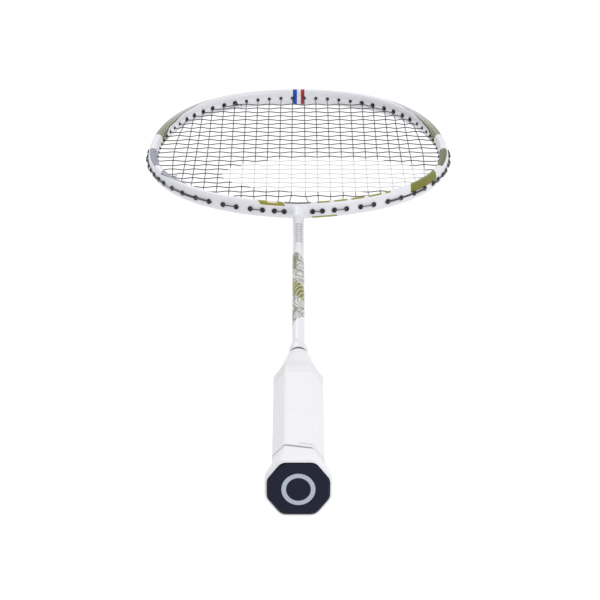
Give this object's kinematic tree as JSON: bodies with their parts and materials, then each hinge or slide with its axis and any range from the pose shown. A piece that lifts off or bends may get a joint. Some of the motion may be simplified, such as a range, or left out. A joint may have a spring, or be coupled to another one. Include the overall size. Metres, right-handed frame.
{
  "type": "badminton racket",
  "caption": "Badminton racket with an oval strung head in grommets, a slim shaft, a cone, a wound octagonal grip and a dark butt cap.",
  "frame": {"origin": "centre of the butt cap's end face, on the shaft's axis", "axes": "+Y along the racket from the butt to the head's tip, +Z square to the string bed, +X across the head"},
  "size_m": [0.2032, 0.6756, 0.0308],
  "materials": {
    "frame_lacquer": "glossy white lacquer on carbon fibre",
    "cone_plastic": "satin white",
    "grip_polyurethane": "matte white, soft",
    "tape_vinyl": "satin white",
    "cap_plastic": "satin navy",
    "badge_inlay": "satin pale blue-grey",
    "grommet_nylon": "satin black",
    "string_nylon": "glossy charcoal",
    "collar_rubber": "matte black",
    "handle_wood": "bare, hidden by the grip"
  },
  "bodies": {
    "root": {"butt_cap": "cap_plastic", "cap_ring_badge": "badge_inlay", "cone": "cone_plastic", "cone_collar": "collar_rubber", "cone_ferrule": "cone_plastic", "cross_string": "string_nylon", "finishing_tape": "tape_vinyl", "frame_hoop": "frame_lacquer", "grip_wrap": "grip_polyurethane", "grommet_strip_left_1": "grommet_nylon", "grommet_strip_left_2": "grommet_nylon", "grommet_strip_left_3": "grommet_nylon", "grommet_strip_left_4": "grommet_nylon", "grommet_strip_left_5": "grommet_nylon", "grommet_strip_left_6": "grommet_nylon", "grommet_strip_right_1": "grommet_nylon", "grommet_strip_right_2": "grommet_nylon", "grommet_strip_right_3": "grommet_nylon", "grommet_strip_right_4": "grommet_nylon", "grommet_strip_right_5": "grommet_nylon", "grommet_strip_right_6": "grommet_nylon", "grommet_throat_left_1": "grommet_nylon", "grommet_throat_left_2": "grommet_nylon", "grommet_throat_left_3": "grommet_nylon", "grommet_throat_left_4": "grommet_nylon", "grommet_throat_left_5": "grommet_nylon", "grommet_throat_left_6": "grommet_nylon", "grommet_throat_right_1": "grommet_nylon", "grommet_throat_right_2": "grommet_nylon", "grommet_throat_right_3": "grommet_nylon", "grommet_throat_right_4": "grommet_nylon", "grommet_throat_right_5": "grommet_nylon", "grommet_throat_right_6": "grommet_nylon", "grommet_tip_left_1": "grommet_nylon", "grommet_tip_left_2": "grommet_nylon", "grommet_tip_left_3": "grommet_nylon", "grommet_tip_left_4": "grommet_nylon", "grommet_tip_left_5": "grommet_nylon", "grommet_tip_left_6": "grommet_nylon", "grommet_tip_right_1": "grommet_nylon", "grommet_tip_right_2": "grommet_nylon", "grommet_tip_right_3": "grommet_nylon", "grommet_tip_right_4": "grommet_nylon", "grommet_tip_right_5": "grommet_nylon", "grommet_tip_right_6": "grommet_nylon", "handle_core": "handle_wood", "main_string": "string_nylon", "shaft": "frame_lacquer", "t_joint": "frame_lacquer"}
  },
  "joints": []
}
